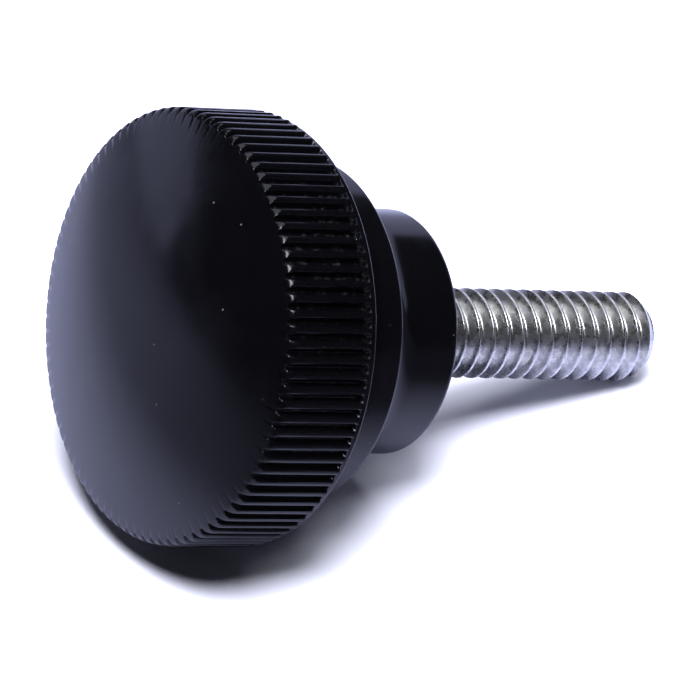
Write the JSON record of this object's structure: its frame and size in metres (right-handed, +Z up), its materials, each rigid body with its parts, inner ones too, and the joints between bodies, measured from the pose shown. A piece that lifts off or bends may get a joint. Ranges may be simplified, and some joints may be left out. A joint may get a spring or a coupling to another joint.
{
  "type": "knurled knob",
  "caption": "Round hand knob with a domed face, straight-knurled rim, stepped collar and boss, and a threaded steel stud.",
  "frame": {"origin": "centre of the knob's bounding box in X and Y, on the surface it lies on, which is the lowest point in Z", "axes": "+Z up; +X along the stud as seen from above, so the stud points along +X and 20.1 degrees down; the X-Z plane cuts the knob in two equal halves"},
  "size_m": [0.044, 0.0302, 0.0305],
  "materials": {
    "black_plastic": "glossy moulded black thermoset plastic, with fine dust in the knurl",
    "zinc_steel": "rolled thread, clear zinc plated, with dull scuffed patches"
  },
  "bodies": {
    "root": {"knob_head": "black_plastic", "threaded_stud": "zinc_steel"}
  },
  "joints": []
}
